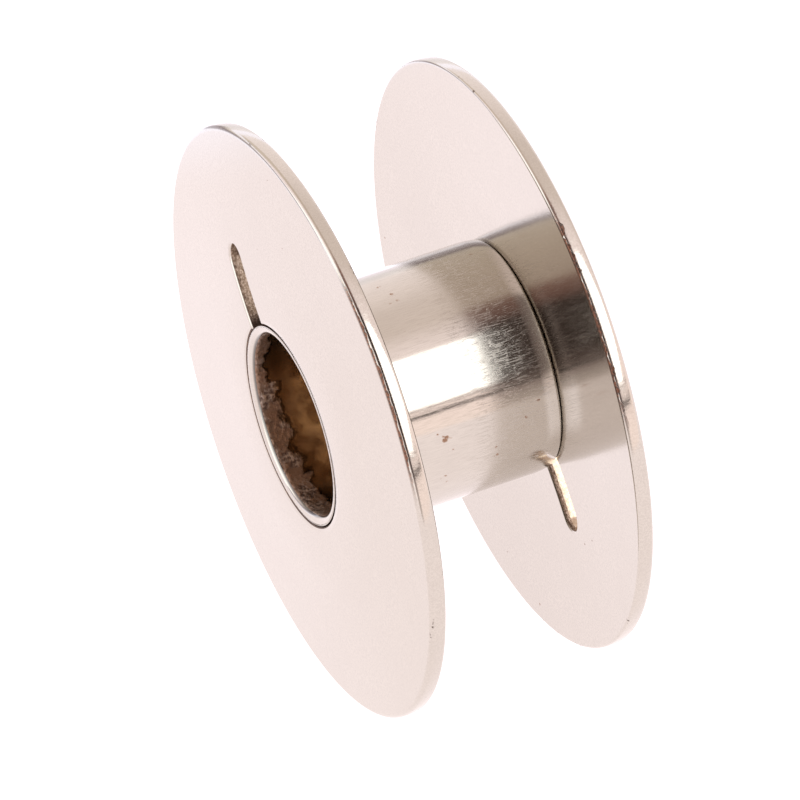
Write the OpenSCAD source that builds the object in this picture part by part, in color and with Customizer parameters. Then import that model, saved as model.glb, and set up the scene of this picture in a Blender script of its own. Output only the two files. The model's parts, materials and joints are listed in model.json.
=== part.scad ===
// Metal sewing bobbin: a hub with a bore, and two slotted flanges riveted to its ends.
// The bobbin's axis lies along Y, the origin is its centre, and it stands on its rims.
// The front is at -Y and the back at +Y.

/* [Flanges] */
// Outside diameter of both flanges
flange_d = 21; // [19:0.1:24]
// Thickness of the sheet that the flanges are stamped from
flange_t = 0.57; // [0.4:0.01:0.8]
// How far each rim lies back from the flange's flat seat
dish = 0.3; // [0.1:0.01:0.4]
// Diameter of the flat seat around the bore
seat_d = 9.4; // [9.2:0.1:10]
// Rounding of the rim's outer edge
rim_outer_round = 0.18; // [0.05:0.01:0.25]
// Rounding of the rim's inner edge
rim_inner_round = 0.1; // [0.03:0.01:0.15]
// Radius of the gentle crown across the rim
rim_crown_round = 1; // [0.6:0.1:5]

/* [Hub] */
// Width of the bobbin over the hub's ends
hub_w = 8.8; // [7:0.1:12]
// Diameter of the hub between the flanges, where the thread is wound
hub_d = 8.24; // [7.8:0.02:9]
// Diameter of the bore
bore_d = 6.4; // [5.8:0.1:6.5]
// Diameter of the turned-down ends that pass through the flanges
spigot_d = 6.9; // [6.8:0.02:7.1]
// Diameter of the lips that the ends are flared out to
lip_d = 7.16; // [7.14:0.02:7.6]
// Rounding of the bore's two mouths
mouth_round = 0.28; // [0.1:0.01:0.3]
// Rounding of the hub's two shoulders
shoulder_round = 0.16; // [0.05:0.01:0.3]
// Radius of the gentle crown that leads to each shoulder
crown_round = 1.9; // [1:0.1:4]

/* [Slots] */
// Width of the thread slot in each flange
slot_w = 1.16; // [0.6:0.02:1.6]
// Distance from the axis to the slot's outer end
slot_reach = 6.45; // [5.5:0.05:8]
// Rounding of the slot's edges
slot_edge_round = 0.1; // [0.05:0.01:0.2]
// Angle of the front flange's slot from straight up
front_slot_angle = -50; // [-180:1:180]
// Angle of the back flange's slot from straight up
back_slot_angle = 125; // [-180:1:180]

/* [Hidden] */
$fn = 96;

arc_steps = 6;
gap_round = 0.05;
flare_h = 0.3;
crown_angle = 13;

flange_r = flange_d / 2;
seat_r = seat_d / 2;
hub_r = hub_d / 2;
bore_r = bore_d / 2;
spigot_r = spigot_d / 2;
lip_r = lip_d / 2;

// Distances from the middle of the bobbin, along its axis
mouth_y = hub_w / 2;
shoulder_y = mouth_y - flange_t;
rim_y = mouth_y - dish;

// Where the crown ends and the shoulder's own rounding begins
crown_end_r = hub_r - crown_round * (1 - cos(crown_angle));
crown_end_y = shoulder_y - shoulder_round * (1 - sin(crown_angle));

// Where the rim's crown meets its two roundings
rim_outer_angle = asin((flange_t / 2 - rim_outer_round) / (rim_crown_round - rim_outer_round));
rim_inner_angle = asin((flange_t / 2 - rim_inner_round) / (rim_crown_round - rim_inner_round));
rim_crown_r = flange_r - rim_crown_round;
rim_outer_r = rim_crown_r + (rim_crown_round - rim_outer_round) * cos(rim_outer_angle);
rim_inner_r = rim_crown_r + (rim_crown_round - rim_inner_round) * cos(rim_inner_angle);

// The slot's edges are rounded, a little short of tangency with the sheet's faces
slot_edge_y = flange_t / 2 - 0.95 * slot_edge_round;
slot_open_w = slot_w + 2 * slot_edge_round;
slot_end_r = slot_reach - slot_w / 2;
cone_slope = dish / (flange_r - seat_r);
slot_start_r = bore_r;
slot_tilt = atan(cone_slope * (slot_reach - seat_r) / (slot_reach - slot_start_r));

// Points of an arc about [x, y] from one angle to another
function arc(x, y, r, from, to) = [
    for (i = [0:arc_steps])
        let (a = from + (to - from) * i / arc_steps)
            [x + r * cos(a), y + r * sin(a)]
];

// Outline of one end of the hub, from its bore out to its shoulder, as [radius, distance]
function hub_end() = concat(
    arc(bore_r + mouth_round, mouth_y - mouth_round, mouth_round, 180, 90),
    [[lip_r - gap_round, mouth_y], [lip_r, mouth_y - gap_round]],
    [[spigot_r, mouth_y - flare_h], [spigot_r, shoulder_y]],
    arc(
        crown_end_r - shoulder_round * cos(crown_angle), shoulder_y - shoulder_round,
        shoulder_round, 90, crown_angle
    ),
    arc(
        hub_r - crown_round, crown_end_y - crown_round * sin(crown_angle),
        crown_round, crown_angle * (1 - 1 / arc_steps), 0
    )
);

// The same outline at the hub's other end, in reverse order
function opposite(points) = [
    for (i = [len(points) - 1:-1:0]) [points[i][0], -points[i][1]]
];

// Section of a flange: countersunk hole, flat seat, shallow cone and crowned rim
function flange_section() = concat(
    [[spigot_r, shoulder_y], [spigot_r, mouth_y - flare_h]],
    [[lip_r, mouth_y - gap_round], [lip_r + gap_round, mouth_y], [seat_r, mouth_y]],
    arc(rim_outer_r, rim_y - rim_outer_round, rim_outer_round, 90, rim_outer_angle),
    arc(
        rim_crown_r, rim_y - flange_t / 2, rim_crown_round,
        0.8 * rim_outer_angle, -0.8 * rim_inner_angle
    ),
    arc(
        rim_inner_r, rim_y - flange_t + rim_inner_round, rim_inner_round,
        -rim_inner_angle, -90
    ),
    [[seat_r, shoulder_y]]
);

// Turns a section about the bobbin's axis
module turned(points) {
    rotate([-90, 0, 0])
        rotate_extrude()
            polygon(points);
}

// Moves a shape made for the back end, with its slot straight up, to one end of the bobbin
module at_end(back, slot_angle) {
    rotate([0, slot_angle, 0])
        mirror([0, back ? 0 : 1, 0])
            children();
}

// Cross-section of the slot through the sheet, with its rounded edges
module slot_section() {
    difference() {
        square([slot_open_w, 2 * flange_t], center = true);
        for (side = [-1, 1])
            translate([side * slot_open_w / 2, 0]) {
                square([2 * slot_edge_round, 2 * slot_edge_y], center = true);
                for (face = [-1, 1])
                    translate([0, face * slot_edge_y])
                        circle(r = slot_edge_round);
            }
    }
}

// Half of that cross-section, for turning about the slot's round outer end
module slot_half_section() {
    intersection() {
        slot_section();
        translate([0, -flange_t])
            square([slot_open_w, 2 * flange_t]);
    }
}

// Everything that the slot takes out of a flange
module slot_cutter() {
    translate([0, mouth_y - flange_t / 2, slot_start_r])
        rotate([slot_tilt, 0, 0]) {
            linear_extrude(height = slot_end_r - slot_start_r)
                slot_section();
            translate([0, 0, slot_end_r - slot_start_r])
                rotate([-90, 180, 0])
                    rotate_extrude(angle = 180)
                        slot_half_section();
        }
}

module flange(back, slot_angle) {
    at_end(back, slot_angle)
        difference() {
            turned(flange_section());
            slot_cutter();
        }
}

// Tubular hub with flared ends, turned from bar
module hub() {
    color([0.72, 0.69, 0.66])
        turned(concat(hub_end(), opposite(hub_end())));
}

// Stamped disc at the near end
module front_flange() {
    color([0.86, 0.82, 0.79])
        flange(false, front_slot_angle);
}

// Stamped disc at the far end
module back_flange() {
    color([0.86, 0.82, 0.79])
        flange(true, back_slot_angle);
}

hub();
front_flange();
back_flange();
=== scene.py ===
"""A nickel-plated steel sewing bobbin, standing on its rims on a pale floor.

The bobbin's axis is Y, its middle is the origin, and the front flange is at -Y. The three
pieces are remade here as finely turned meshes over the CAD solids, from the same sizes.
"""

import json
import math

import bmesh
import bpy
import numpy as np
from mathutils import Matrix, Vector


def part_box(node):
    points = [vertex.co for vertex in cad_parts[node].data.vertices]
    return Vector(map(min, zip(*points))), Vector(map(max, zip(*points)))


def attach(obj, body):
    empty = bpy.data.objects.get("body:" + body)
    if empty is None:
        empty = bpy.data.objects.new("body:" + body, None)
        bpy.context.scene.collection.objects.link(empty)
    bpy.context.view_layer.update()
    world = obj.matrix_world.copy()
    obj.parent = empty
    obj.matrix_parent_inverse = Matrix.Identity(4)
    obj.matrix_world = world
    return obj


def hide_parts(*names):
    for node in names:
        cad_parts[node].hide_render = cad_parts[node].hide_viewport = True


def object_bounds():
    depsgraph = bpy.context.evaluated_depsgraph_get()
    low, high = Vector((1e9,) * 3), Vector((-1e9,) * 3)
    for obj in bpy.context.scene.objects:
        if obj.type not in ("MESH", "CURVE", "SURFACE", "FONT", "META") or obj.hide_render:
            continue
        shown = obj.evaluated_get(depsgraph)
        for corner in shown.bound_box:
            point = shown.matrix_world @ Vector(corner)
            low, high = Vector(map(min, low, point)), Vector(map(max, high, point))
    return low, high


MM = 0.001

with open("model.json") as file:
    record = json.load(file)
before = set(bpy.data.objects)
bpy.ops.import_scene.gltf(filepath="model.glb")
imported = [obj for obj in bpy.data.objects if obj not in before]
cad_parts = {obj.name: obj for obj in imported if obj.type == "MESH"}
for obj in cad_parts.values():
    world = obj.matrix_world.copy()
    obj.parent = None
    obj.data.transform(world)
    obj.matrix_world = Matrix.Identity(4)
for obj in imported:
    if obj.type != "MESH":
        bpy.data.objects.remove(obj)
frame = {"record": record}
cad_low, cad_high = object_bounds()

# ---------------------------------------------------------------- sizes

MOUNTS = {mount["name"]: mount for mount in frame["record"]["mounts"]}
_, HUB_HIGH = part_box("hub")
BACK_LOW, BACK_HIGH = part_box("back_flange")

FLANGE_R = cad_high.x
HUB_R = HUB_HIGH.x
BORE_R = MOUNTS["bore"]["dims"]["r_mm"] * MM
MOUTH_Y = HUB_HIGH.y
SHEET = 0.57 * MM
SHOULDER_Y = MOUTH_Y - SHEET
DISH = BACK_HIGH.y - BACK_LOW.y - SHEET
SEAT_R = 4.7 * MM
SEAT_BLEND = 0.9 * MM

SPIGOT_R = 3.43 * MM
LIP_R = 3.56 * MM
FLARE_H = 0.3 * MM
HOLE_CLEARANCE = 0.05 * MM
GROOVE_ROUND = 0.03 * MM
MOUTH_ROUND = 0.28 * MM
BORE_EDGE = 0.03 * MM
SHOULDER_ROUND = 0.16 * MM
CROWN_ROUND = 1.9 * MM
CROWN_ANGLE = math.radians(13)
RIM_OUTER_ROUND = 0.18 * MM
RIM_INNER_ROUND = 0.1 * MM
RIM_CROWN_ROUND = 1.0 * MM

SLOT_W = 1.16 * MM
SLOT_EDGE_ROUND = 0.1 * MM
SLOT_REACH = 6.45 * MM
FRONT_TEAR = (0.06 * MM, 0.45 * MM)
BACK_TEAR = (0.37 * MM, 0.56 * MM)
FRONT_SLOT_ANGLE = math.radians(-50)
BACK_SLOT_ANGLE = math.radians(125)

# ---------------------------------------------------------------- mesh fineness

COLUMNS = 384
SECTOR_COLUMNS = 54
ARC_STEP = math.radians(7)
RIM_STEPS = 9
EDGE_STEPS = 7
WALL_ROWS = 6
INNER_RINGS = 14
BLEND_ROWS = 7
OUTER_RINGS = 12
SECTOR_R = 7.6 * MM
MERGE_DISTANCE = 1e-7

# How unevenly the rings and the rows beside a slot are spaced
RING_EASE = 1.15
BLEND_EASE = 1.6
# How far past a rounding the next point lies, so that the flat beside it stays flat
HOLD_SHARE = 0.12
# Slack that leaves a flat between the hub's crown and its shoulder
TAPER_SLACK = 1.02
# Where the rings end before the rim, in roundings of its outer edge
RIM_START_SHARE = 1.2

# How far past its own edges a region of another material reaches
GROOVE_MARGIN = 0.01 * MM
SLOT_MARGIN = 0.02 * MM
HOLE_MARGIN = 0.005 * MM
# Depths below a flange's two faces between which a slot's wall is bare steel
BARE_BELOW_OUTER = 0.06 * MM
BARE_ABOVE_INNER = 0.04 * MM

# Places of the materials on the hub and on a flange, after the plate at 0
BORE_WALL = 1
HUB_GROOVE = 2
SLOT_FRACTURE = 1
SLOT_BURNISH = 2
FLANGE_GROOVE = 3


# ---------------------------------------------------------------- mesh helpers


def rounded_outline(corners):
    """Points of a closed outline whose corners, given as (r, y, rounding), are arcs.

    Where there is room, a point just before and after each arc keeps the flats beside it
    flat when the mesh is shaded smooth.
    """
    count = len(corners)
    spots = [np.array(corner[:2]) for corner in corners]
    gaps = [np.linalg.norm(spots[(i + 1) % count] - spots[i]) for i in range(count)]
    ways = [(spots[(i + 1) % count] - spots[i]) / gaps[i] for i in range(count)]
    turns = [math.acos(np.clip(ways[i - 1] @ ways[i], -1, 1)) for i in range(count)]
    runs = [corners[i][2] * math.tan(turns[i] / 2) for i in range(count)]
    points = []
    for i in range(count):
        before, after = ways[i - 1], ways[i]
        hold = runs[i] * (1 + HOLD_SHARE)
        side = 1 if before[0] * after[1] - before[1] * after[0] > 0 else -1
        inward = side * np.array([-before[1], before[0]])
        start = spots[i] - before * runs[i]
        centre = start + inward * corners[i][2]
        steps = max(2, math.ceil(turns[i] / ARC_STEP))
        if hold + runs[i - 1] < gaps[i - 1]:
            points.append(spots[i] - before * hold)
        for k in range(steps + 1):
            a = side * turns[i] * k / steps
            spin = np.array([[math.cos(a), -math.sin(a)], [math.sin(a), math.cos(a)]])
            points.append(centre + spin @ (start - centre))
        if hold + runs[(i + 1) % count] < gaps[i]:
            points.append(spots[i] + after * hold)
    return np.array(points)


def around(angle, r, y):
    """Points at these angles from +Z towards +X, radii and places along the axis."""
    angle, r, y = np.broadcast_arrays(angle, r, y)
    return np.stack([r * np.sin(angle), y, r * np.cos(angle)], -1)


class Patches:
    """Grids of points, joined into one closed mesh of four-sided faces."""

    def __init__(self):
        self.points, self.faces, self.count = [], [], 0

    def add(self, grid, wrap_rows=False, wrap_columns=False):
        rows, columns = grid.shape[:2]
        index = self.count + np.arange(rows * columns).reshape(rows, columns)
        self.points.append(grid.reshape(-1, 3))
        self.count += rows * columns
        for i in range(rows if wrap_rows else rows - 1):
            for j in range(columns if wrap_columns else columns - 1):
                i2, j2 = (i + 1) % rows, (j + 1) % columns
                self.faces.append((index[i, j], index[i2, j], index[i2, j2], index[i, j2]))

    def build(self, name):
        mesh = bpy.data.meshes.new(name)
        mesh.from_pydata(np.concatenate(self.points).tolist(), [], self.faces)
        work = bmesh.new()
        work.from_mesh(mesh)
        bmesh.ops.remove_doubles(work, verts=work.verts, dist=MERGE_DISTANCE)
        bmesh.ops.recalc_face_normals(work, faces=work.faces)
        loose = [e for e in work.edges if not e.is_manifold]
        assert not loose, f"{name} has {len(loose)} open edges"
        work.to_mesh(mesh)
        work.free()
        mesh.polygons.foreach_set("use_smooth", [True] * len(mesh.polygons))
        piece = bpy.data.objects.new(name, mesh)
        bpy.context.scene.collection.objects.link(piece)
        return piece


# ---------------------------------------------------------------- hub


def make_hub():
    """The tube with its two shoulders, spigots and flared lips, turned in one outline."""
    crown_run = CROWN_ROUND * math.tan(CROWN_ANGLE / 2)
    shoulder_run = SHOULDER_ROUND * math.tan(math.pi / 4 - CROWN_ANGLE / 2)
    taper = (crown_run + shoulder_run) * TAPER_SLACK
    crown_y = SHOULDER_Y - taper * math.cos(CROWN_ANGLE)
    end = [
        (BORE_R, MOUTH_Y, MOUTH_ROUND),
        (LIP_R, MOUTH_Y, GROOVE_ROUND),
        (SPIGOT_R, MOUTH_Y - FLARE_H, GROOVE_ROUND),
        (SPIGOT_R, SHOULDER_Y, GROOVE_ROUND / 2),
        (HUB_R - taper * math.sin(CROWN_ANGLE), SHOULDER_Y, SHOULDER_ROUND),
        (HUB_R, crown_y, CROWN_ROUND),
    ]
    opposite = [(r, -y, rounding) for r, y, rounding in reversed(end)]
    outline = rounded_outline(end + opposite)
    angle = np.arange(COLUMNS) * 2 * math.pi / COLUMNS
    patches = Patches()
    patches.add(around(angle[:, None], outline[:, 0], outline[:, 1]), True, True)
    piece = patches.build("hub_turned")
    for face in piece.data.polygons:
        r = math.hypot(face.center.x, face.center.z)
        end_y = abs(face.center.y)
        in_groove = SHOULDER_Y - 2 * GROOVE_MARGIN < end_y < MOUTH_Y - GROOVE_MARGIN
        if r < BORE_R + BORE_EDGE:
            face.material_index = BORE_WALL
        elif in_groove and r > SPIGOT_R - GROOVE_MARGIN:
            face.material_index = HUB_GROOVE
    return piece


# ---------------------------------------------------------------- flanges


def face_drop(r):
    """How far a flange's face lies back from its seat at radius r: a flat, then a cone."""
    slope = DISH / (FLANGE_R - SEAT_R)
    u = r - SEAT_R
    soft = slope * (u + SEAT_BLEND) ** 2 / (4 * SEAT_BLEND)
    return np.where(u < -SEAT_BLEND, 0, np.where(u < SEAT_BLEND, soft, slope * u))


def hole_r(depth):
    """Radius of the flange's countersunk hole, at a depth below the outer face."""
    flare = SPIGOT_R + (LIP_R - SPIGOT_R) * np.clip(1 - depth / FLARE_H, 0, 1)
    chamfer = np.clip(GROOVE_ROUND - depth, 0, None)
    return flare + chamfer + HOLE_CLEARANCE


# The angle of one column, half the angle of the sector that holds the slot, and the angles
# of the columns in it
COLUMN = 2 * math.pi / COLUMNS
SECTOR = SECTOR_COLUMNS / 2 * COLUMN
SECTOR_ANGLES = -SECTOR + np.arange(SECTOR_COLUMNS + 1) * COLUMN

# Rows of the slot's wall: depths below the outer face, and how far each is rounded off
ROLL = np.linspace(0, math.pi / 2, EDGE_STEPS + 1)
EDGE_DEPTH = SLOT_EDGE_ROUND * (1 - np.cos(ROLL))
EDGE_OPEN = SLOT_EDGE_ROUND * (1 - np.sin(ROLL))
WALL_START = SLOT_EDGE_ROUND * (1 + HOLD_SHARE)
WALL = np.linspace(WALL_START, SHEET - WALL_START, WALL_ROWS)
DEPTH = np.concatenate([EDGE_DEPTH, WALL, SHEET - EDGE_DEPTH[::-1]])
OPENING = np.concatenate([EDGE_OPEN, 0 * WALL, EDGE_OPEN[::-1]])
WALL_R = hole_r(DEPTH)

# Rings from the hole to the sector's edge, and shares of the way between two outlines
RING_SHARE = np.linspace(0, 1, INNER_RINGS + 1) ** RING_EASE
INNER = WALL_R[0] + (SECTOR_R - WALL_R[0]) * RING_SHARE[1:]
BLEND = 1 - np.linspace(1, 0, BLEND_ROWS + 1) ** BLEND_EASE


def outer_face(r):
    """Place of the back flange's outer face along the axis, at radius r."""
    return MOUTH_Y - face_drop(r)


def inner_face(r):
    return outer_face(r) - SHEET


def rim_outline():
    """Points of the rim, from the outer face round its gentle crown to the inner face."""
    crown_r = FLANGE_R - RIM_CROWN_ROUND
    middle_y = (outer_face(FLANGE_R) + inner_face(FLANGE_R)) / 2
    slope = math.atan(DISH / (FLANGE_R - SEAT_R))

    def arc(r, y, radius, start, stop):
        a = np.linspace(start, stop, RIM_STEPS)
        return np.stack([r + radius * np.cos(a), y + radius * np.sin(a)], -1)

    def edge_centre(face_y, radius, side):
        """Centre of one edge's rounding, and the angle where it meets the crown."""
        y = face_y(FLANGE_R - radius) - side * radius
        angle = math.asin((y - middle_y) / (RIM_CROWN_ROUND - radius))
        return crown_r + (RIM_CROWN_ROUND - radius) * math.cos(angle), y, angle

    r1, y1, a1 = edge_centre(outer_face, RIM_OUTER_ROUND, 1)
    r2, y2, a2 = edge_centre(inner_face, RIM_INNER_ROUND, -1)
    outer = arc(r1, y1, RIM_OUTER_ROUND, math.pi / 2 - slope, a1)
    crown = arc(crown_r, middle_y, RIM_CROWN_ROUND, a1, a2)
    inner = arc(r2, y2, RIM_INNER_ROUND, a2, -math.pi / 2 - slope)
    return np.concatenate([outer, crown[1:-1], inner])


def edge_outline():
    """The disc's section past the sector's edge: out to the rim, round it and back."""
    rim_start = FLANGE_R - RIM_START_SHARE * RIM_OUTER_ROUND
    rings = np.linspace(SECTOR_R, rim_start, OUTER_RINGS + 1)
    out = np.stack([rings, outer_face(rings)], -1)
    back = np.stack([rings[::-1], inner_face(rings[::-1])], -1)
    return np.concatenate([out, rim_outline(), back])


def disc_outline():
    """The disc's whole section: the hole's wall, the outer face, the rim, the inner face."""
    wall = np.stack([WALL_R[::-1], (MOUTH_Y - DEPTH)[::-1]], -1)
    face = np.stack([INNER[:-1], outer_face(INNER[:-1])], -1)
    back = np.stack([INNER[-2::-1], inner_face(INNER[-2::-1])], -1)
    return np.concatenate([wall, face, edge_outline(), back])


def slot_line(half, start_r):
    """The slot's outline at one depth, as x and z, from the hole out and back again."""
    turn = np.linspace(-math.pi / 2, math.pi / 2, SECTOR_COLUMNS + 1)[1:-1]
    start_z = math.sqrt(start_r**2 - half**2)
    end_z = SLOT_REACH - SLOT_W / 2
    z = start_z + (end_z - start_z) * RING_SHARE
    side = np.full(len(z), half)
    x = np.concatenate([-side, half * np.sin(turn), side])
    return x, np.concatenate([z, end_z + half * np.cos(turn), z[::-1]])


def sector_line(start_r):
    """The sector's edge, as radius and angle, in step with the slot's outline."""
    r = np.concatenate([[start_r], INNER])
    tip = np.full(SECTOR_COLUMNS - 1, SECTOR_R)
    side = np.full(len(r), SECTOR)
    angle = np.concatenate([-side, SECTOR_ANGLES[1:-1], side])
    return np.concatenate([r, tip, r[::-1]]), angle


def face_rows(start_r, face_y):
    """Rows on one face, from the sector's edge to the slot's edge."""
    x, z = slot_line(SLOT_W / 2 + SLOT_EDGE_ROUND, start_r)
    r1, a1 = np.hypot(x, z), np.arctan2(x, z)
    r0, a0 = sector_line(start_r)
    rows = []
    for s in BLEND:
        r = r0 + (r1 - r0) * s
        rows.append(around(a0 + (a1 - a0) * s, r, face_y(r)))
    return rows


def slot_rows():
    """Rows from the sector's edge on the outer face, through the slot, to the inner face."""
    rows = face_rows(WALL_R[0], outer_face)
    for depth, opening, wall_r in list(zip(DEPTH, OPENING, WALL_R))[1:-1]:
        x, z = slot_line(SLOT_W / 2 + opening, wall_r)
        rows.append(np.stack([x, outer_face(np.hypot(x, z)) - depth, z], -1))
    rows += face_rows(WALL_R[-1], inner_face)[::-1]
    return np.array(rows)


def hole_strips(rows, side):
    """The hole's wall between the sector's edge and the slot, on side 0 or -1 of the rows."""
    last = BLEND_ROWS + len(DEPTH) - 1
    line = rows[BLEND_ROWS : last + 1, side]
    slot_a = np.arctan2(line[:, 0], line[:, 2])
    edge_a = -SECTOR if side == 0 else SECTOR
    strips = [around(edge_a + (slot_a - edge_a) * s, WALL_R, MOUTH_Y - DEPTH) for s in BLEND]
    strips = np.array(strips)
    strips[:, 0] = rows[: BLEND_ROWS + 1, side]
    strips[:, -1] = rows[last:, side][::-1]
    return strips


def mark_flange(piece, tear):
    """Gives the faces in the slot and in the hole their own places in the materials."""
    for face in piece.data.polygons:
        x, y, z = face.center
        r = math.hypot(x, z)
        sunk = outer_face(r) - y
        in_slot = abs(x) < SLOT_W / 2 + SLOT_MARGIN and 0 < z < SLOT_REACH + SLOT_MARGIN
        if in_slot and BARE_BELOW_OUTER < sunk < SHEET - BARE_ABOVE_INNER:
            torn = tear[0] < sunk < tear[1]
            face.material_index = SLOT_FRACTURE if torn else SLOT_BURNISH
        elif r < hole_r(sunk) + HOLE_MARGIN and sunk > HOLE_MARGIN:
            face.material_index = FLANGE_GROOVE


def make_flange(name, slot_angle, end, tear):
    """A dished disc with a countersunk hole and one slot with rounded edges.

    It is built as the back flange with the slot at angle 0, then turned and mirrored.
    """
    patches = Patches()
    # Whole rings of the disc, everywhere but in the sector that holds the slot
    loop = disc_outline()
    angle = SECTOR + np.arange(COLUMNS - SECTOR_COLUMNS + 1) * COLUMN
    patches.add(around(angle[:, None], loop[:, 0], loop[:, 1]), wrap_columns=True)
    # The sector's outer part, between the slot's surroundings and the rim
    edge = edge_outline()
    patches.add(around(SECTOR_ANGLES[:, None], edge[:, 0], edge[:, 1]))
    # The slot and the hole's wall on either side of it
    rows = slot_rows()
    patches.add(rows)
    patches.add(hole_strips(rows, 0))
    patches.add(hole_strips(rows, -1))

    piece = patches.build(name)
    mark_flange(piece, tear)
    place = Matrix.Rotation(slot_angle, 4, "Y") @ Matrix.Diagonal((1, end, 1, 1))
    piece.data.transform(place)
    if end < 0:
        piece.data.flip_normals()
    return piece


# ---------------------------------------------------------------- materials


class Nodes:
    """Short names for the node types that the materials below use."""

    def __init__(self, tree):
        self.tree = tree
        tree.nodes.clear()

    def link(self, node, name, value):
        socket = node.inputs[name]
        if isinstance(value, bpy.types.NodeSocket):
            self.tree.links.new(value, socket)
        else:
            socket.default_value = value

    def add(self, kind, **inputs):
        node = self.tree.nodes.new(kind)
        for name, value in inputs.items():
            self.link(node, name.replace("_", " "), value)
        return node

    def math(self, operation, *values):
        node = self.tree.nodes.new("ShaderNodeMath")
        node.operation = operation
        for i, value in enumerate(values):
            self.link(node, i, value)
        return node.outputs[0]

    def times(self, *values):
        total = values[0]
        for value in values[1:]:
            total = self.math("MULTIPLY", total, value)
        return total

    def ramp(self, value, low, high, to_low=0.0, to_high=1.0):
        """Eases from one level to another as the value goes from low to high."""
        node = self.tree.nodes.new("ShaderNodeMapRange")
        node.interpolation_type = "SMOOTHSTEP"
        for i, v in enumerate((value, low, high, to_low, to_high)):
            self.link(node, i, v)
        return node.outputs[0]

    def band(self, value, low, high, soft):
        """1 between low and high, 0 outside, with soft edges."""
        rise = self.ramp(self.math("SUBTRACT", value, low), -soft, soft)
        fall = self.ramp(self.math("SUBTRACT", value, high), -soft, soft, 1.0, 0.0)
        return self.times(rise, fall)

    def mix(self, share, first, second):
        node = self.tree.nodes.new("ShaderNodeMix")
        node.data_type = "RGBA"
        for i, v in ((0, share), (6, first), (7, second)):
            self.link(node, i, v)
        return node.outputs[2]

    def colors(self, value, stops):
        """A colour for a value from 0 to 1, from (value, colour) stops."""
        node = self.add("ShaderNodeValToRGB", Fac=value)
        ramp = node.color_ramp
        while len(ramp.elements) < len(stops):
            ramp.elements.new(1.0)
        for element, (place, color) in zip(ramp.elements, stops):
            element.position = place
            element.color = (*color, 1)
        return node.outputs["Color"]

    def noise(self, vector, size, detail=2.0):
        """Noise from 0 to 1 with features of about this size."""
        node = self.add("ShaderNodeTexNoise", Vector=vector, Scale=1 / size, Detail=detail)
        return node.outputs["Fac"]

    def spots(self, vector, spacing):
        """Distance to the nearest of many scattered points, in spacings."""
        node = self.add("ShaderNodeTexVoronoi", Vector=vector, Scale=1 / spacing)
        return node.outputs["Distance"]

    def vector(self, x, y, z=0.0):
        return self.add("ShaderNodeCombineXYZ", X=x, Y=y, Z=z).outputs[0]

    def surface(self, shader):
        out = self.add("ShaderNodeOutputMaterial")
        self.tree.links.new(shader, out.inputs["Surface"])


class Turned(Nodes):
    """Nodes of a material for a turned piece, with places round and along the axis."""

    def __init__(self, name):
        self.material = bpy.data.materials.new(name)
        self.material.use_nodes = True
        super().__init__(self.material.node_tree)
        self.place = self.add("ShaderNodeTexCoord").outputs["Object"]
        x, self.y, z = self.add("ShaderNodeSeparateXYZ", Vector=self.place).outputs
        self.angle = self.math("ARCTAN2", x, z)
        self.r = self.math("SQRT", self.math("ADD", self.times(x, x), self.times(z, z)))
        self.end = self.math("ABSOLUTE", self.y)

    def wrapped(self, around_size, along_size):
        """Place on the turned surface, in steps of these sizes round and along the axis."""
        around = self.times(self.angle, HUB_R / around_size)
        return self.vector(around, self.times(self.y, 1 / along_size))

    def metal(self, color, roughness, height=None, depth=0.0, brushed=0.0):
        """A metal; brushed is how much wider its gloss is along the axis than round it."""
        shader = self.add(
            "ShaderNodeBsdfPrincipled",
            Base_Color=color,
            Metallic=1.0,
            Roughness=roughness,
            Anisotropic=brushed,
            Anisotropic_Rotation=0.25,
        )
        if brushed:
            tangent = self.tree.nodes.new("ShaderNodeTangent")
            tangent.direction_type = "RADIAL"
            tangent.axis = "Y"
            self.tree.links.new(tangent.outputs[0], shader.inputs["Tangent"])
        if height is not None:
            bump = self.add("ShaderNodeBump", Strength=1.0, Distance=depth, Height=height)
            self.tree.links.new(bump.outputs[0], shader.inputs["Normal"])
        return shader.outputs[0]


# Colour of a painted highlight on the back shoulder
SHOULDER_HIGHLIGHT = (0.78, 0.765, 0.73, 1)
NICKEL = (0.6, 0.565, 0.51, 1)
NICKEL_DULL = (0.55, 0.515, 0.465, 1)
TARNISH = (0.3, 0.155, 0.085, 1)
CHIP = (0.07, 0.04, 0.03, 1)
RUST_AND_DARK_REFLECTION = (0.2, 0.08, 0.045, 1)
GRIME = (0.12, 0.085, 0.07, 1)
GRIME_LIGHT = (0.2, 0.13, 0.09, 1)
# Colour of a painted dark reflection on the rounded inner edge of each mouth
MOUTH_DARK_REFLECTION = (0.09, 0.085, 0.08, 1)

# Groups of brown specks on the hub: angle from straight up, place along the axis, reach
SPECK_GROUPS = (
    (-18, -0.6, 0.4),
    (-3, -0.3, 0.5),
    (-20, 3.0, 0.5),
    (12, 0.7, 0.35),
    (72, -0.4, 0.5),
    (92, -0.4, 0.5),
    (70, 2.6, 0.6),
    (86, 1.4, 0.5),
)
SPECK_SPACING = 0.27 * MM

# Sizes round the hub and along it of the marks that brushing left
STREAK_SIZE = (0.04 * MM, 0.6 * MM)
FLECK_SIZE = (0.05 * MM, 0.2 * MM)
STREAK_DEPTH = 0.0006 * MM
HUB_BRUSHED = 0.75
HUB_ROUGHNESS = 0.12
WORN_ROUGHNESS = 0.2
SPECK_ROUGHNESS = 0.25
# The setting tool's arc on the front lip, as radii and angles
TOOL_ARC_R = (3.475 * MM, 3.5 * MM)
TOOL_ARC_TURN = (2.1, 2.5)
# The painted highlight on the back shoulder, as angles and places along the axis
SHOULDER_HIGHLIGHT_TURN = (math.radians(62), math.radians(90))
SHOULDER_HIGHLIGHT_Y = (3.15 * MM, 3.4 * MM)


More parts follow.
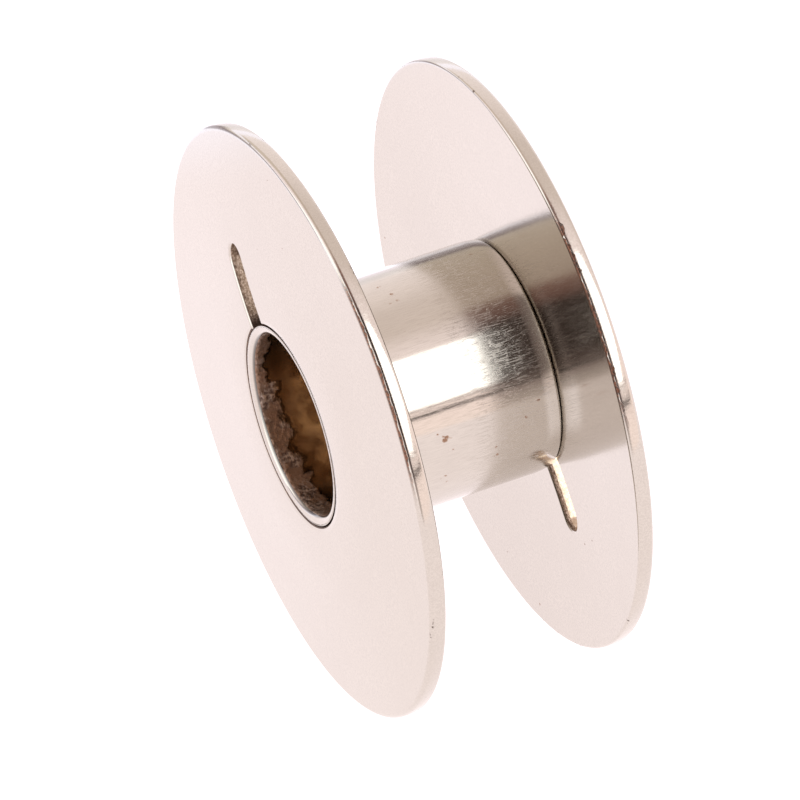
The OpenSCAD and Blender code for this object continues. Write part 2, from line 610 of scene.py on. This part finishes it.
def hub_specks(n):
    """1 in brown specks that lie in small groups, 0 elsewhere."""
    near_group = 0.0
    for angle, y, reach in SPECK_GROUPS:
        du = n.times(n.math("SUBTRACT", n.angle, math.radians(angle)), HUB_R)
        dv = n.math("SUBTRACT", n.y, y * MM)
        away = n.math("SQRT", n.math("ADD", n.times(du, du), n.times(dv, dv)))
        group = n.ramp(away, reach * 1.3 * MM, 0.2 * reach * MM)
        near_group = n.math("MAXIMUM", near_group, group)
    spread = n.wrapped(SPECK_SPACING, SPECK_SPACING * 1.2)
    wobble = n.math("SUBTRACT", n.noise(n.place, 0.05 * MM, 2.0), 0.5)
    size = n.ramp(n.noise(n.place, 0.3 * MM, 1.0), 0.34, 0.55, 0.0, 0.35)
    away = n.math("ADD", n.spots(spread, 1.0), n.times(wobble, 0.3))
    return n.ramp(n.math("SUBTRACT", away, n.times(near_group, size)), 0.08, -0.14)


def tool_arc(n):
    """1 in the arc that the setting tool left on the front lip, 0 elsewhere."""
    face = n.ramp(n.end, MOUTH_Y - 0.03 * MM, MOUTH_Y - 0.01 * MM)
    front = n.ramp(n.y, 0.0, -MM)
    line = n.band(n.r, *TOOL_ARC_R, 0.012 * MM)
    return n.times(face, front, line, n.ramp(n.angle, *TOOL_ARC_TURN))


def hub_nickel():
    """Mirror-bright plate with fine axial streaks and small groups of brown specks."""
    n = Turned("hub_nickel")
    streak = n.noise(n.wrapped(*STREAK_SIZE), 1.0, 3.0)
    fleck = n.noise(n.wrapped(*FLECK_SIZE), 1.0, 2.0)
    cloud = n.noise(n.place, 1.2 * MM, 3.0)
    speck = hub_specks(n)
    color = n.mix(n.ramp(cloud, 0.3, 0.75, 0.0, 0.5), NICKEL, NICKEL_DULL)
    color = n.mix(n.ramp(streak, 0.35, 0.65, 0.0, 0.7), color, NICKEL_DULL)
    color = n.mix(n.times(speck, 0.85), color, TARNISH)
    color = n.mix(n.times(tool_arc(n), 0.8), color, GRIME)
    # A painted dark reflection on the mouth's inner edge, in dark steel grey
    mouth_dark_reflection = n.ramp(n.r, BORE_R + 0.11 * MM, BORE_R + 0.04 * MM)
    color = n.mix(n.times(mouth_dark_reflection, 0.85), color, MOUTH_DARK_REFLECTION)
    # A painted highlight on the back shoulder's right-hand side
    side = n.band(n.angle, *SHOULDER_HIGHLIGHT_TURN, math.radians(8))
    color = n.mix(n.times(side, n.ramp(n.y, *SHOULDER_HIGHLIGHT_Y)), color, SHOULDER_HIGHLIGHT)
    # The outside is worn along the streaks, and more so towards the back
    outside = n.ramp(n.r, HUB_R - 0.4 * MM, HUB_R - 0.3 * MM)
    worn = n.math("MAXIMUM", n.ramp(streak, 0.49, 0.66), n.ramp(fleck, 0.56, 0.68))
    worn = n.times(worn, outside, n.ramp(n.y, 0.2 * MM, 1.6 * MM, 0.4, 1.0))
    roughness = n.math("ADD", HUB_ROUGHNESS, n.times(worn, WORN_ROUGHNESS))
    roughness = n.math("ADD", roughness, n.times(speck, SPECK_ROUGHNESS))
    n.surface(n.metal(color, roughness, streak, STREAK_DEPTH, HUB_BRUSHED))
    return n.material


# Colours of the bore's smooth wall, near the mouth and deep inside (lightened there as a
# painted reflection), and of its rough zone
SMOOTH_MOUTH = (0.42, 0.29, 0.2, 1)
SMOOTH_DEEP_WITH_REFLECTION = (0.82, 0.69, 0.51, 1)
SMOOTH_STAIN = (0.3, 0.2, 0.12, 1)
ROUGH_LOW = (0.14, 0.095, 0.075, 1)
ROUGH_HIGH = (0.52, 0.41, 0.34, 1)
ROUGH_STAIN = (0.3, 0.19, 0.13, 1)
ROUGH_BORDER = (0.06, 0.035, 0.02, 1)
# Depth of the rough zone at the top and at the bottom of the bore, and how ragged it is
ROUGH_REACH = (0.55 * MM, 0.82 * MM)
ROUGH_RAGGED = 1.4 * MM
ROUGH_DEPTH = 0.05 * MM


def bore_wall():
    """Brown, partly plated steel; rough and ragged-edged near the mouths."""
    n = Turned("bore_wall")
    depth = n.math("SUBTRACT", MOUTH_Y, n.end)
    ragged = n.math("SUBTRACT", n.noise(n.place, 0.7 * MM, 5.0), 0.5)
    height = n.times(n.r, n.math("COSINE", n.angle))
    reach = n.ramp(height, 1.2 * MM, -3.0 * MM, *ROUGH_REACH)
    reach = n.math("ADD", reach, n.times(ragged, ROUGH_RAGGED))
    inside = n.math("SUBTRACT", depth, reach)
    rough_zone = n.ramp(inside, 0.07 * MM, -0.07 * MM)
    border = n.band(inside, -0.05 * MM, 0.13 * MM, 0.06 * MM)
    grain = n.noise(n.place, 0.13 * MM, 4.0)
    blotch = n.noise(n.place, 0.55 * MM, 3.0)
    # The smooth wall grows lighter deeper in: its brown plate plus a painted golden
    # reflection
    smooth_color = n.mix(n.ramp(depth, 0.8 * MM, 2.0 * MM), SMOOTH_MOUTH, SMOOTH_DEEP_WITH_REFLECTION)
    smooth_color = n.mix(n.ramp(blotch, 0.4, 0.62, 0.0, 0.9), smooth_color, SMOOTH_STAIN)
    rough_color = n.mix(n.ramp(grain, 0.36, 0.68), ROUGH_LOW, ROUGH_HIGH)
    rough_color = n.mix(n.ramp(blotch, 0.35, 0.6), rough_color, ROUGH_STAIN)
    color = n.mix(rough_zone, smooth_color, rough_color)
    dark = n.times(border, n.ramp(blotch, 0.25, 0.45), 0.9)
    color = n.mix(dark, color, ROUGH_BORDER)
    roughness = n.math("ADD", 0.2, n.times(rough_zone, 0.25))
    n.surface(n.metal(color, roughness, n.times(rough_zone, grain), ROUGH_DEPTH))
    return n.material


def groove_grime():
    """Dark deposit in the thin gap between a lip and its flange."""
    n = Turned("groove_grime")
    grain = n.noise(n.place, 0.1 * MM, 3.0)
    color = n.mix(n.ramp(grain, 0.4, 0.7), GRIME, GRIME_LIGHT)
    n.surface(n.metal(color, 0.5))
    return n.material


FLANGE_ROUGHNESS = 0.13
RIM_ROUGHNESS = 0.1
STREAKED_ROUGHNESS = 0.1
DAMAGE_ROUGHNESS = 0.3
GRAIN_DEPTH = 0.0012 * MM
DAMAGE_DEPTH = 3.0
GRINDING_SIZE = (0.03 * MM, 0.4 * MM)
PIT_SPACING = 0.45 * MM
# Where the rims' edges are worn and carry a painted dark reflection, then how far and how
# raggedly on the front flange and on the back one
WEAR_AND_REFLECTION_TURN = (math.radians(20), math.radians(59))
WEAR_AND_REFLECTION_REACH = (-0.58, -0.54)
WEAR_AND_REFLECTION_RAGGED = (0.45, 1.0)


def flange_pits(n):
    """1 in a few pits, smaller than the gaps between them, and 0 elsewhere."""
    size = n.ramp(n.noise(n.place, 0.8 * MM, 1.0), 0.6, 0.75, 0.0, 0.12)
    away = n.math("SUBTRACT", n.spots(n.place, PIT_SPACING), size)
    return n.ramp(away, 0.02, -0.02)


def rim_chips(n, on_rim, across):
    """1 in the chips of the rim's two rounded edges, 0 elsewhere."""
    edge = n.math("MAXIMUM", n.ramp(across, 0.55, 0.85), n.ramp(across, -0.6, -0.9))
    flake = n.noise(n.place, 0.16 * MM, 4.0)
    bar = n.ramp(n.noise(n.place, 1.4 * MM, 2.0), 0.45, 0.7, 0.8, 0.58)
    return n.times(on_rim, edge, n.ramp(n.math("SUBTRACT", flake, bar), -0.02, 0.04))


def rim_wear_and_dark_reflection(n, on_rim, across):
    """1 on the ragged edges that face the front, up to the right, 0 elsewhere: partly real
    wear, partly a painted dark reflection.
    """
    front_side = n.times(n.math("SIGN", n.y), across)
    window = n.band(n.angle, *WEAR_AND_REFLECTION_TURN, math.radians(5))
    reach = n.ramp(n.y, -MM, MM, *WEAR_AND_REFLECTION_REACH)
    reach = n.math("MULTIPLY_ADD", front_side, -0.75, reach)
    ragged = n.math("SUBTRACT", n.noise(n.place, 0.35 * MM, 5.0), 0.5)
    ragged = n.times(ragged, n.ramp(n.y, -MM, MM, *WEAR_AND_REFLECTION_RAGGED))
    worn = n.ramp(n.math("ADD", ragged, reach), -0.06, 0.02)
    return n.times(worn, on_rim, window, n.ramp(front_side, 0.1, -0.1))


def flange_nickel():
    """Plated sheet with a very fine grain, a few pits, chips along the rim's edges, and worn
    front-facing edges with a painted dark reflection.
    """
    n = Turned("flange_nickel")
    on_rim = n.ramp(n.r, FLANGE_R - 0.16 * MM, FLANGE_R - 0.08 * MM)
    # Place across the rim, from -1 at the inner face to 1 at the outer face
    rim_middle = MOUTH_Y - DISH - SHEET / 2
    across = n.times(n.math("SUBTRACT", n.end, rim_middle), 2 / SHEET)
    pit = flange_pits(n)
    chip = rim_chips(n, on_rim, across)
    worn = rim_wear_and_dark_reflection(n, on_rim, across)
    grain = n.noise(n.place, 0.07 * MM, 4.0)
    cloud = n.noise(n.place, 2.5 * MM, 3.0)
    color = n.mix(n.ramp(cloud, 0.3, 0.7, 0.0, 0.35), NICKEL, NICKEL_DULL)
    color = n.mix(n.ramp(grain, 0.35, 0.65), color, NICKEL_DULL)
    color = n.mix(n.times(pit, 0.55), color, TARNISH)
    color = n.mix(n.times(chip, 0.9), color, CHIP)
    rust_and_dark_reflection = n.mix(n.ramp(grain, 0.42, 0.58), RUST_AND_DARK_REFLECTION, CHIP)
    # Rust brown on the worn front-facing rim edges, darkened further as a painted dark
    # reflection
    color = n.mix(n.times(worn, 0.95), color, rust_and_dark_reflection)
    damage = n.math("MAXIMUM", pit, n.math("MAXIMUM", chip, worn))
    # Streaks across the rim from grinding
    streak = n.ramp(n.noise(n.wrapped(*GRINDING_SIZE), 1.0, 2.0), 0.45, 0.7)
    smoother = n.times(on_rim, FLANGE_ROUGHNESS - RIM_ROUGHNESS)
    roughness = n.math("SUBTRACT", FLANGE_ROUGHNESS, smoother)
    roughness = n.math("ADD", roughness, n.times(streak, on_rim, STREAKED_ROUGHNESS))
    roughness = n.math("ADD", roughness, n.times(damage, DAMAGE_ROUGHNESS))
    height = n.math("SUBTRACT", grain, n.times(damage, DAMAGE_DEPTH))
    n.surface(n.metal(color, roughness, height, GRAIN_DEPTH))
    return n.material


# Colours of a slot's torn wall and of its smooth wall, each from dark to light
TORN_DARK = (0.27, 0.195, 0.14, 1)
TORN_LIGHT = (0.6, 0.48, 0.39, 1)
TORN_STAIN = (0.13, 0.085, 0.06, 1)
SMEARED_DARK = (0.48, 0.37, 0.27, 1)
SMEARED_LIGHT = (0.62, 0.51, 0.4, 1)


def slot_fracture():
    """The part of the slot's wall that tore when the slot was punched: rough and brown."""
    n = Turned("slot_fracture")
    grain = n.noise(n.place, 0.08 * MM, 4.0)
    blotch = n.noise(n.place, 0.3 * MM, 2.0)
    color = n.mix(n.ramp(grain, 0.35, 0.7), TORN_DARK, TORN_LIGHT)
    color = n.mix(n.ramp(blotch, 0.5, 0.7, 0.0, 0.8), color, TORN_STAIN)
    # Darker towards the hub's lip
    color = n.mix(n.ramp(n.r, 4.2 * MM, 3.8 * MM, 0.0, 0.75), color, GRIME)
    n.surface(n.metal(color, 0.5, grain, 0.02 * MM))
    return n.material


def slot_burnish():
    """The part of the slot's wall that the punch rubbed smooth, with a golden cast."""
    n = Turned("slot_burnish")
    grain = n.noise(n.place, 0.12 * MM, 4.0)
    color = n.mix(n.ramp(grain, 0.3, 0.7), SMEARED_DARK, SMEARED_LIGHT)
    n.surface(n.metal(color, 0.22, grain, 0.004 * MM))
    return n.material


def dress(piece, node, slot, *materials):
    """Gives a piece its materials and its body, and hides the CAD part it stands in for."""
    for material in materials:
        piece.data.materials.append(material)
    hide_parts(node)
    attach(piece, "root")


def make_bobbin():
    """Makes the three pieces and dresses them."""
    grime = groove_grime()
    sheet = (flange_nickel(), slot_fracture(), slot_burnish(), grime)
    front = make_flange("front_flange_sheet", FRONT_SLOT_ANGLE, -1, FRONT_TEAR)
    back = make_flange("back_flange_sheet", BACK_SLOT_ANGLE, 1, BACK_TEAR)
    hub = make_hub()
    dress(hub, "hub", "hub_plate", hub_nickel(), bore_wall(), grime)
    dress(front, "front_flange", "flange_plate", *sheet)
    dress(back, "back_flange", "flange_plate", *sheet)


make_bobbin()

# ---------------------------------------------------------------- floor, light and camera

FLOOR_SIZE = 4.0
FLOOR_GREY = (0.1, 0.1, 0.1, 1)
# The floor's light far to the left, on the left and on the right
FLOOR_FAR = (1.45, 1.42, 1.6, 1)
FLOOR_LEFT = (1.32, 1.2, 1.25, 1)
FLOOR_RIGHT = (1.27, 1.145, 1.16, 1)
# Half the width of the change from left to right, and where the far part begins
FLOOR_TURN = 14 * MM
FLOOR_FAR_X = (-1.6 * FLOOR_TURN, -2.0 * FLOOR_TURN)
FLOOR_SKEW = 0.5


def make_floor():
    """A pale floor, lit so evenly that the bobbin leaves no shadow to see."""
    mesh = bpy.data.meshes.new("floor")
    s = FLOOR_SIZE / 2
    z = cad_low.z
    mesh.from_pydata([(-s, -s, z), (s, -s, z), (s, s, z), (-s, s, z)], [], [(0, 1, 2, 3)])
    floor = bpy.data.objects.new("floor", mesh)
    bpy.context.scene.collection.objects.link(floor)
    material = bpy.data.materials.new("pale_floor")
    material.use_nodes = True
    n = Nodes(material.node_tree)
    place = n.add("ShaderNodeTexCoord").outputs["Object"]
    x, y, _ = n.add("ShaderNodeSeparateXYZ", Vector=place).outputs
    across = n.math("SUBTRACT", x, n.math("MULTIPLY", y, FLOOR_SKEW))
    glow = n.mix(n.ramp(across, -FLOOR_TURN, FLOOR_TURN), FLOOR_LEFT, FLOOR_RIGHT)
    glow = n.mix(n.ramp(x, *FLOOR_FAR_X), glow, FLOOR_FAR)
    shader = n.add(
        "ShaderNodeBsdfPrincipled",
        Base_Color=FLOOR_GREY,
        Roughness=1.0,
        Specular_IOR_Level=0.0,
    )
    n.link(shader, "Emission Color", glow)
    n.link(shader, "Emission Strength", 1.0)
    n.surface(shader.outputs[0])
    mesh.materials.append(material)


# The studio round the bobbin: angle round its axis from straight up towards +X, and the
# light from there. Front is the side of the camera, at -Y.
BACK_WALLS = (
    (-180, (1.485, 1.312, 1.275)),
    (-120, (1.65, 1.463, 1.448)),
    (-94, (1.375, 1.251, 1.255)),
    (-60, (1.265, 1.12, 1.091)),
    (-35, (1.056, 0.913, 0.857)),
    (-12, (1.045, 0.898, 0.836)),
    (8, (1.34, 1.17, 1.16)),
    (78, (1.52, 1.29, 1.24)),
    (100, (1.485, 1.281, 1.224)),
    (180, (1.485, 1.312, 1.275)),
)
FRONT_WALLS = (
    (-180, (1.331, 1.12, 1.123)),
    (-94, (1.065, 0.947, 0.853)),
    (-54, (0.944, 0.804, 0.707)),
    (-16, (0.799, 0.657, 0.572)),
    (-8, (0.399, 0.234, 0.198)),
    (3, (0.266, 0.143, 0.12)),
    (12, (0.05, 0.032, 0.027)),
    (55, (0.045, 0.028, 0.023)),
    (67, (0.145, 0.102, 0.094)),
    (76, (0.508, 0.407, 0.395)),
    (84, (0.76, 0.67, 0.64)),
    (104, (1.355, 1.14, 1.144)),
    (180, (1.331, 1.12, 1.123)),
)
# The part of the front walls that lies nearer the axis, with a shade across it, and the
# part straight ahead of the front flange
FRONT_INNER = (1.45, 1.27, 1.29)
FRONT_INNER_SHADE = (0.42, 0.34, 0.34)
FRONT_INNER_TURN = (-14, 74)
FRONT_AHEAD = (2.0, 2.0, 2.0)
# The softbox and the dark lines of its frame, as angles round the axis
SOFTBOX = (15.5, 64)
SOFTBOX_CUT = 16
SOFTBOX_LIGHT = 3.2
SOFTBOX_FRAMES = ((65.7, 66.8), (70.9, 73.8))
FRAME_DARK = (0.03, 0.027, 0.025, 1)
# Where each part of the walls goes over into the next along the axis, and where the softbox
# and its frame begin and end, in the direction's own y
AHEAD_Y = (-0.74, -0.66)
INNER_Y = (-0.52, -0.42)
BACK_Y = (-0.08, 0.06)
SOFTBOX_Y = (0.05, 0.62)
SOFTBOX_CUT_Y = (0.32, 0.66)
FRAME_Y = (-0.42, 0.62)
EDGE_Y = 0.03
# How soft the edges are round the axis, in degrees
SHADE_SOFT = 6
FRAME_SOFT = 0.7
SOFTBOX_SOFT = 1.5
BRIGHTEST = 2.0

CARD_X = -37 * MM
CARD_LENGTH = 120 * MM
# Half the length of the change from the card's front colours to its back ones
CARD_TURN = 3 * MM
# The card's colours from its foot to its top, towards the back and towards the front
CARD_BACK = ((0.0, (1.35, 1.25, 1.35)), (0.65, (1.15, 1.08, 1.1)), (1.0, (1.33, 1.24, 1.25)))
CARD_FRONT = (
    (0.0, (1.4, 1.4, 1.6)),
    (0.14, (0.82, 0.77, 0.86)),
    (0.42, (0.7, 0.63, 0.7)),
    (0.67, (0.4, 0.33, 0.35)),
    (0.86, (1.1, 1.0, 0.93)),
)


def make_card():
    """A low card at the floor's left edge, seen only in the bobbin's reflections."""
    mesh = bpy.data.meshes.new("card")
    s = CARD_LENGTH / 2
    low = cad_low.z
    outline = ((-s, low), (s, low), (s, HUB_R), (-s, HUB_R))
    corners = [(CARD_X, y, z) for y, z in outline]
    mesh.from_pydata(corners, [], [(0, 1, 2, 3)])
    card = bpy.data.objects.new("card", mesh)
    bpy.context.scene.collection.objects.link(card)
    card.visible_camera = False
    material = bpy.data.materials.new("card_paper")
    material.use_nodes = True
    n = Nodes(material.node_tree)
    place = n.add("ShaderNodeTexCoord").outputs["Object"]
    _, y, z = n.add("ShaderNodeSeparateXYZ", Vector=place).outputs
    rise = n.math("DIVIDE", n.math("SUBTRACT", z, low), HUB_R - low)

    def paper(stops):
        return n.colors(rise, [(h, [c / BRIGHTEST for c in color]) for h, color in stops])

    glow = n.mix(n.ramp(y, -CARD_TURN, CARD_TURN), paper(CARD_FRONT), paper(CARD_BACK))
    n.surface(n.add("ShaderNodeEmission", Color=glow, Strength=BRIGHTEST).outputs[0])
    mesh.materials.append(material)


def make_world():
    """A white studio: even walls, a softbox up to the right and the dark camera stand."""
    world = bpy.data.worlds.new("studio")
    bpy.context.scene.world = world
    world.use_nodes = True
    n = Nodes(world.node_tree)
    direction = n.add("ShaderNodeTexCoord").outputs["Generated"]
    x, y, z = n.add("ShaderNodeSeparateXYZ", Vector=direction).outputs
    turn = n.math("MULTIPLY_ADD", n.math("ARCTAN2", x, z), 0.5 / math.pi, 0.5)

    def level(color):
        return [c / BRIGHTEST for c in color]

    def walls(stops):
        return n.colors(turn, [(a / 360 + 0.5, level(color)) for a, color in stops])

    def arc(limits, soft):
        low, high = (a / 360 + 0.5 for a in limits)
        return n.band(turn, low, high, soft / 360)

    shade = arc(FRONT_INNER_TURN, SHADE_SOFT)
    inner = n.mix(shade, (*level(FRONT_INNER), 1), (*level(FRONT_INNER_SHADE), 1))
    front = n.mix(n.ramp(y, *INNER_Y), inner, walls(FRONT_WALLS))
    front = n.mix(n.ramp(y, *AHEAD_Y), (*level(FRONT_AHEAD), 1), front)
    light = n.mix(n.ramp(y, *BACK_Y), front, walls(BACK_WALLS))
    lines = [arc(limits, FRAME_SOFT) for limits in SOFTBOX_FRAMES]
    lines = n.times(n.math("MAXIMUM", *lines), n.band(y, *FRAME_Y, EDGE_Y))
    light = n.mix(lines, light, FRAME_DARK)
    # The softbox narrows towards its far end
    low, high = (a / 360 + 0.5 for a in SOFTBOX)
    cut = n.ramp(y, *SOFTBOX_CUT_Y, 0.0, SOFTBOX_CUT / 360)
    low = n.math("ADD", low, cut)
    high = n.math("SUBTRACT", high, cut)
    box = n.band(turn, low, high, SOFTBOX_SOFT / 360)
    box = n.times(box, n.band(y, *SOFTBOX_Y, EDGE_Y))
    light = n.mix(box, light, (*level([SOFTBOX_LIGHT] * 3), 1))
    back = n.add("ShaderNodeBackground", Color=light, Strength=BRIGHTEST)
    out = n.add("ShaderNodeOutputWorld")
    n.tree.links.new(back.outputs[0], out.inputs[0])


# The camera looks down at the front flange's right-hand side, from far enough away that
# the two flanges look almost the same size
CAMERA_AZIMUTH = math.radians(64.9)
CAMERA_ELEVATION = math.radians(45.3)
CAMERA_DISTANCE = 304.6 * MM
CAMERA_LENS = 405
AIM_RIGHT = -0.297 * MM
AIM_UP = -0.442 * MM
SENSOR_WIDTH = 36
CLIP = (0.01, 10)


def make_camera():
    level = math.cos(CAMERA_ELEVATION)
    x = math.sin(CAMERA_AZIMUTH) * level
    y = -math.cos(CAMERA_AZIMUTH) * level
    back = Vector((x, y, math.sin(CAMERA_ELEVATION)))
    camera = bpy.data.objects.new("camera", bpy.data.cameras.new("camera"))
    bpy.context.scene.collection.objects.link(camera)
    turn = back.to_track_quat("Z", "Y")
    camera.rotation_mode = "QUATERNION"
    camera.rotation_quaternion = turn
    aim = turn @ Vector((AIM_RIGHT, AIM_UP, 0))
    camera.location = aim + back * CAMERA_DISTANCE
    camera.data.lens = CAMERA_LENS
    camera.data.sensor_width = SENSOR_WIDTH
    camera.data.clip_start = CLIP[0]
    camera.data.clip_end = CLIP[1]
    bpy.context.scene.camera = camera


make_floor()
make_card()
make_world()
make_camera()
bpy.context.scene.view_settings.view_transform = "Standard"
